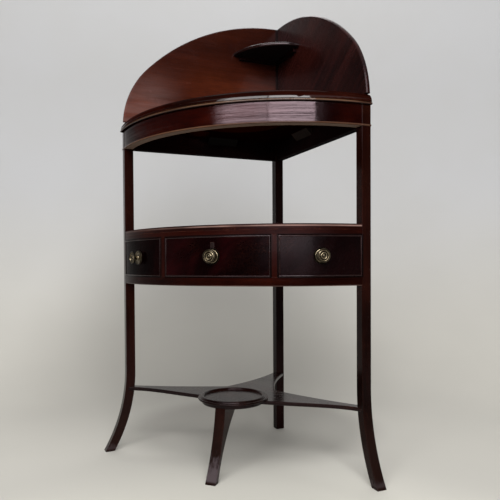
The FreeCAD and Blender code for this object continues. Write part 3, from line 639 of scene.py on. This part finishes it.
def turnedPiece(name, points, angle, ring):
    # profile spun about its axis: out = height, side = radius sin, up = radius cos; then set on the bow
    curve = smoothProfile(points, brass["steps"])
    if ring:  # comes back along the bore and closes on itself
        curve = np.vstack([curve, [points[0][0], points[-1][1]]])
        poles = np.empty((0, 2))
    else:  # both ends run in to a pole on the axis
        curve, poles = curve[:-1], np.array([[points[0][0], 0.0], points[-1]])
    turns, rows = brass["turns"], len(curve)
    spot = np.vstack([np.repeat(curve, turns, axis=0), poles])
    spin = np.append(np.tile(np.arange(turns), rows), np.zeros(len(poles))) * 2 * math.pi / turns
    out = bow["radius"] + spot[:, 0] / 1000
    side, rise = spot[:, 1] * np.sin(spin) / 1000, spot[:, 1] * np.cos(spin) / 1000
    cos, sin = math.cos(angle), math.sin(angle)
    spot = np.stack([out * sin + side * cos, bow["centreY"] - out * cos + side * sin, knobHeight + rise],
                    axis=-1)
    faces = ringFaces(rows, turns, ring)
    if not ring:
        faces += poleFaces(rows * turns, 0, turns, True)
        faces += poleFaces(rows * turns + 1, (rows - 1) * turns, turns, False)
    made = newPiece(name, spot, faces)
    hollow = np.clip(0.5 + brass["hollowGain"] * hollowness(curve, brass["hollowReach"]), 0, 1)
    hollow = np.append(np.repeat(hollow, turns), np.zeros(len(poles))).astype(np.float32)
    made.data.attributes.new("hollow", "FLOAT", "POINT").data.foreach_set("value", hollow)
    made.data.update()
    return made


def agedBrass(name, seed, hollowed):
    # rubbed bright on the crests, browned and dull in the hollows
    made, tree, shader, place = newMaterial(name)
    shifted = put(tree, "Mapping", {"Vector": place, "Location": (seed, 2 * seed, 0)}).outputs[0]
    blotch = ranged(tree, noise(tree, shifted, scale=brass["blotch"], detail=5, roughness=0.65), 0.35, 0.7)
    speck = ranged(tree, noise(tree, shifted, scale=brass["speck"], detail=2), 0.55, 0.75)
    colour = mixColour(tree, blotch, brass["deep"], brass["bright"])
    dull = times(tree, speck, 0.5)
    if hollowed:
        dip = put(tree, "Attribute", attribute_name="hollow").outputs["Fac"]
        dull = calc(tree, "MAXIMUM", dull, ranged(tree, dip, *brass["hollowRange"]))
    colour = mixColour(tree, dull, colour, brass["tarnish"])
    rough = calc(tree, "ADD", times(tree, dull, 0.3), brass["gloss"])
    rough = calc(tree, "SUBTRACT", rough, times(tree, blotch, 0.08))
    bump = put(tree, "Bump", {"Strength": brass["bumpStrength"], "Distance": brass["bumpDistance"],
                              "Height": blotch}).outputs[0]
    tree.links.new(colour, shader.inputs["Base Color"])
    tree.links.new(rough, shader.inputs["Roughness"])
    tree.links.new(bump, shader.inputs["Normal"])
    shader.inputs["Metallic"].default_value = 1.0
    return made


for count, (side, (angle, body)) in enumerate(knobPlaces.items()):
    for part, node in (("head", "knob_"), ("rose", "knob_rose_")):
        made = turnedPiece(part + side.capitalize(), knobShape[part], angle, part == "rose")
        made.data.materials.append(agedBrass(part + side.capitalize() + "Brass", 0.13 * count + 0.05, True))
        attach(made, body)
        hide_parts(node + side)
    dress("knob_nut_" + side, agedBrass("nut" + side.capitalize() + "Brass", 0.13 * count, False))
print("brass knobs turned")

# studio
view = {"place": (0.5192, -1.2857, 0.4679), "yaw": 0.3831, "pitch": -0.0199, "roll": -0.0058,
        "lens": 40.17, "sensor": 36.0, "shiftY": 0.0505}
studio = {"flat": 2.0, "cove": 1.5, "wallTop": 3.7, "ahead": 1.5, "world": 0.6, "aimHeight": 0.4,
          "rings": (0.4, 0.8, 1.2, 1.6), "coveSteps": 25, "turns": 96}
paper = {"floor": srgb(200, 197, 189), "wall": srgb(190, 190, 191), "front": srgb(205, 204, 202),
         "side": srgb(152, 151, 149), "dark": srgb(54, 54, 54), "cloud": srgb(180, 178, 172),
         "wedge": 0.45, "wedgeEdge": (0.02, 0.5), "round": (1.2, 2.4), "cloudScale": 1.6, "cloudAmount": 0.2,
         "facing": 0.08, "turnedOff": (0.36, 0.66), "shadeRise": (1.05, 1.5), "frontRise": (0.15, 0.6),
         "gloss": 0.85, "specular": 0.1}
# paint for the painted shadows, and for the painted pool of light before the piece
shadowPaint, bright = srgb(112, 109, 104), srgb(219, 216, 206)
paintedShadeAndLight = {  # painted shadows behind and under the piece and a painted pool of light before it: soft ovals on the paper, as the camera faces it
    "behind": {"middle": (-0.2, 1.05, 0.1), "stretch": (1.4, 0.95, 0.6), "edge": (0.4, 1.25),
               "amount": 0.5, "tone": shadowPaint},
    "under": {"middle": (0.0, 0.22, 0.0), "stretch": (2.2, 2.4, 1.0), "edge": (0.6, 0.9),
              "amount": 0.4, "tone": shadowPaint},
    "before": {"middle": (0.0, -0.5, 0.0), "stretch": (1.6, 2.1, 1.0), "edge": (0.5, 1.05),
               "amount": 0.85, "tone": bright}}
panes = {  # window light behind the camera and a soft top light behind the piece: middle, size, watts
    "paneEdge": {"middle": (-1.08, -3.18, 2.55), "size": (0.30, 2.05), "watts": 6, "level": True},
    "paneLeft": {"middle": (-0.10, -3.26, 2.59), "size": (1.67, 1.97), "watts": 70, "level": True},
    "paneRight": {"middle": (1.57, -2.93, 2.59), "size": (1.76, 1.97), "watts": 104, "level": True},
    "sillLeft": {"middle": (-0.10, -3.26, 1.49), "size": (1.67, 0.2), "watts": 4, "level": True},
    "sillRight": {"middle": (1.57, -2.93, 1.49), "size": (1.76, 0.2), "watts": 6, "level": True},
    "paneBack": {"middle": (-0.56, 1.39, 3.2), "size": (1.6, 1.0), "watts": 18, "level": False},
    "paneLow": {"middle": (1.35, -2.95, 0.78), "size": (1.9, 0.44), "watts": 12, "level": True}}


def roomPaper():
    # pale paper round the piece and behind it, greyer to the sides, dark high up at the sides, with painted
    # shadows behind and under the piece and a painted pool of light before it
    material, tree, shader, place = newMaterial("roomPaper")
    turned = put(tree, "Mapping", {"Vector": place, "Rotation": (0, 0, -view["yaw"])}).outputs[0]
    across, back, height = parts(tree, turned)
    wide = times(tree, calc(tree, "ADD", back, studio["ahead"]), paper["wedge"])
    beside = calc(tree, "SUBTRACT", calc(tree, "ABSOLUTE", across), wide)
    reach = calc(tree, "SQRT", calc(tree, "ADD", times(tree, across, across), times(tree, back, back)))
    pale = calc(tree, "MAXIMUM", ranged(tree, beside, *paper["wedgeEdge"], 1.0, 0.0),
                ranged(tree, reach, *paper["round"], 1.0, 0.0))
    sheet = mixColour(tree, ranged(tree, height, 0.0, 1.0), paper["floor"], paper["wall"])
    cloud = noise(tree, place, scale=paper["cloudScale"], detail=3)
    sheet = mixColour(tree, ranged(tree, cloud, 0.3, 0.7, 0.0, paper["cloudAmount"]), sheet, paper["cloud"])
    # painted shadows and the painted pool of light
    for patch in paintedShadeAndLight.values():
        near = scaled(tree, vectorCalc(tree, "SUBTRACT", turned, patch["middle"]), patch["stretch"])
        near = vectorCalc(tree, "LENGTH", near, output="Value")
        blend = ranged(tree, near, *patch["edge"], patch["amount"], 0.0)
        sheet = mixColour(tree, blend, sheet, patch["tone"])
    bearing = calc(tree, "ARCTAN2", across, calc(tree, "SUBTRACT", 0.0, back))  # seen from the piece
    off = calc(tree, "ABSOLUTE", calc(tree, "ADD", bearing, paper["facing"]))
    turnedOff = ranged(tree, off, *paper["turnedOff"])
    shade = times(tree, ranged(tree, height, *paper["shadeRise"]), turnedOff)
    sides = mixColour(tree, shade, paper["side"], paper["dark"])
    front = times(tree, ranged(tree, height, *paper["frontRise"]), calc(tree, "SUBTRACT", 1.0, turnedOff))
    sides = mixColour(tree, front, sides, paper["front"])
    tree.links.new(mixColour(tree, pale, sides, sheet), shader.inputs["Base Color"])
    shader.inputs["Roughness"].default_value = paper["gloss"]
    shader.inputs["Specular IOR Level"].default_value = paper["specular"]
    return material


def studioRoom():
    # round room: flat floor, quarter-circle cove, upright wall; the profile is spun about an axis ahead
    turn = np.linspace(0, math.pi / 2, studio["coveSteps"])
    radius = np.concatenate([studio["rings"], studio["flat"] + studio["cove"] * np.sin(turn),
                             [studio["flat"] + studio["cove"]]])
    rise = np.concatenate([np.zeros(len(studio["rings"])), studio["cove"] * (1 - np.cos(turn)),
                           [studio["wallTop"]]])
    spin = np.linspace(0, 2 * math.pi, studio["turns"], endpoint=False)
    out, way = np.meshgrid(radius, spin, indexing="ij")
    hub = studio["ahead"] * np.array([math.sin(view["yaw"]), -math.cos(view["yaw"]), 0.0])
    spot = np.stack([out * np.cos(way), out * np.sin(way), np.repeat(rise[:, None], len(spin), axis=1)],
                    axis=-1).reshape(-1, 3)
    spot = np.vstack([spot + hub, hub])
    faces = ringFaces(len(radius), len(spin), False) + poleFaces(len(spot) - 1, 0, len(spin), True)
    made = newPiece("studioRoom", spot, faces)
    made.data.materials.append(roomPaper())


def studioWorld():
    # even soft light from above, over the room's wall
    world = bpy.data.worlds.new("studioWorld")
    world.use_nodes = True
    world.node_tree.nodes["Background"].inputs["Color"].default_value = (*[studio["world"]] * 3, 1.0)
    bpy.context.scene.world = world


def addPanes():
    for name, pane in panes.items():
        lamp = bpy.data.lights.new(name, "AREA")
        lamp.shape = "RECTANGLE"
        lamp.size, lamp.size_y = pane["size"]
        lamp.energy = pane["watts"]
        made = bpy.data.objects.new(name, lamp)
        made.location = pane["middle"]
        aim = Vector((0, 0, studio["aimHeight"])) - Vector(pane["middle"])
        if pane["level"]:  # stands upright and faces the piece
            aim.z = 0.0
        made.rotation_euler = aim.to_track_quat("-Z", "Y").to_euler()
        made.visible_camera = False
        bpy.context.scene.collection.objects.link(made)


def addCamera():
    lens = bpy.data.cameras.new("view")
    lens.lens, lens.sensor_width, lens.shift_y = view["lens"], view["sensor"], view["shiftY"]
    made = bpy.data.objects.new("view", lens)
    made.location = view["place"]
    turn = (Matrix.Rotation(view["yaw"], 4, "Z") @ Matrix.Rotation(math.pi / 2 + view["pitch"], 4, "X")
            @ Matrix.Rotation(view["roll"], 4, "Z"))
    made.rotation_euler = turn.to_euler()
    bpy.context.scene.collection.objects.link(made)
    bpy.context.scene.camera = made


studioRoom()
studioWorld()
addPanes()
addCamera()
bpy.context.scene.view_settings.view_transform = "Standard"
print("studio ready")
